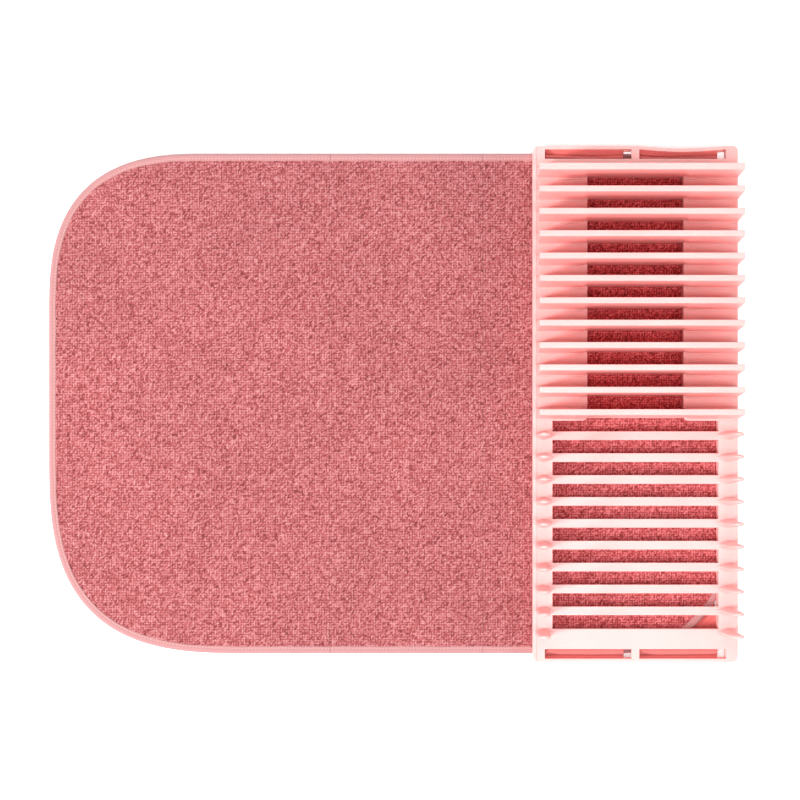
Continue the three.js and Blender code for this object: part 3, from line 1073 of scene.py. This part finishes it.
def strap(word, end):
    """One strap's tape, thickened on both sides of its line and closed at its ends."""
    far = end == "far"
    low, high = box_of(f"strap_{end}_{word}")
    columns = np.linspace(low[0] - STRAP["start"], high[0], STRAP["columns"])
    phase = FOLD_PHASES[f"{end}_{word}"]
    outer, inner, lengths = [], [], []
    for x in columns:
        line = strap_line(x, far, phase, rim_bow(x) if far else 0.0)
        ahead = np.gradient(line, axis=0)
        normal = np.stack([-ahead[:, 1], ahead[:, 0]], 1) / np.linalg.norm(ahead, axis=1)[:, None]
        for side, skin in ((STRAP["thick"] / 2, outer), (-STRAP["thick"] / 2, inner)):
            place = line + normal * side
            skin.append([(x, v if far else -v, max(z, STRAP["lowest"])) for v, z in place])
        lengths.append(np.linalg.norm(np.diff(line, axis=0), axis=1).sum() * MM)
    rings = [np.array(a + b[::-1]) for a, b in zip(outer, inner)]
    points, faces = loft(rings)
    if far:
        faces = [face[::-1] for face in faces]
    made = make(f"strap_tape_{end}_{word}", points, faces, STRAP_TAPE)
    section = rings[0][:, 1:]
    along_tape(made, len(section), columns - columns[0], section)
    rounding = made.modifiers.new("soft_fold", "SUBSURF")
    rounding.levels = rounding.render_levels = 1
    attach(made, "rack_and_base")
    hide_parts(f"strap_{end}_{word}")
    width = (columns[-1] - columns[0]) * MM
    area = width * float(np.mean(lengths))
    max(lengths)


def strap_rod(word, end):
    """The flat rod with rounded edges that a strap goes round."""
    low, high = box_of(f"strap_rod_{end}_{word}")
    middle, half = (low + high) / 2, (high - low) / 2
    radius, sides = ROD["round"], ROD["sides"]
    rings = []
    for x in np.linspace(low[0], high[0], ROD["lines"]):
        bow = rim_bow(x) if end == "far" else 0.0
        ring = []
        for k in range(sides):
            turn = 2 * math.pi * (k + 0.5) / sides
            y = math.copysign(half[1] - radius, math.cos(turn)) + radius * math.cos(turn)
            z = math.copysign(half[2] - radius, math.sin(turn)) + radius * math.sin(turn)
            ring.append((x, middle[1] + y - bow, middle[2] + z))
        rings.append(np.array(ring[::-1]))
    points, faces = loft(rings)
    made = make(f"moulded_rod_{end}_{word}", points, [face[::-1] for face in faces], PLASTIC)
    finish_upright(made, f"strap_rod_{end}_{word}")


# Camera, light and floor


def camera():
    """Straight down from nearer the near end, with the frame shifted back over the middle of the mat."""
    data = bpy.data.cameras.new("camera")
    data.sensor_width = 36
    data.lens = CAMERA["lens"]
    shifted = (CAMERA["centre"] - CAMERA["y"]) / (CAMERA["height"] - DECK)
    data.shift_y = shifted * data.lens / data.sensor_width
    made = bpy.data.objects.new("camera", data)
    made.location = (CAMERA["x"] * MM, CAMERA["y"] * MM, CAMERA["height"] * MM)
    bpy.context.scene.collection.objects.link(made)
    bpy.context.scene.camera = made


def softbox(name, place, target, size, power):
    data = bpy.data.lights.new(name, "AREA")
    data.shape = "RECTANGLE"
    data.size, data.size_y = size
    data.energy = power
    made = bpy.data.objects.new(name, data)
    made.location = place
    aim = np.array(target) - np.array(place)
    made.rotation_euler = Vector(aim).to_track_quat("-Z", "Y").to_euler()
    bpy.context.scene.collection.objects.link(made)


def studio():
    """Five soft lights, a pale world and a floor."""
    middle = (RACK_MID * MM, 0.0, 0.03)
    softbox("light_left", (-1.55, -0.62, 1.25), middle, (0.35, 0.35), 41)
    softbox("light_right", (1.95, -0.60, 1.25), middle, (0.9, 0.7), 16)
    softbox("light_high", (0.0, -0.44, 2.10), (0.0, 0.0, 0.0), (1.6, 0.45), 22)
    softbox("light_back", (0.1, 1.30, 1.75), (0.0, 0.0, 0.0), (2.0, 0.8), 17)
    softbox("light_front", (-0.6, -1.60, 0.95), (0.1, 0.0, 0.03), (1.6, 0.5), 5)
    world = bpy.data.worlds.new("studio")
    world.use_nodes = True
    sky = world.node_tree.nodes["Background"].inputs
    sky["Color"].default_value = (1.0, 1.0, 1.0, 1.0)
    sky["Strength"].default_value = 0.36
    bpy.context.scene.world = world
    half, height = FLOOR["half"], FLOOR["height"]
    points = [(-half, -half, height), (half, -half, height), (half, half, height), (-half, half, height)]
    floor = make("floor", points, [(0, 1, 2, 3)], studio_white(), smooth=False)
    bpy.context.scene.view_settings.view_transform = "Standard"


camera()
studio()
deck_frame()
for wall_number, wall_node in enumerate(WALL_NODES, start=1):
    plate_wall(wall_number, wall_node)
tines()
for strap_end in ("far", "near"):
    for strap_word in ("inner", "outer"):
        strap_rod(strap_word, strap_end)
        strap(strap_word, strap_end)
mat()
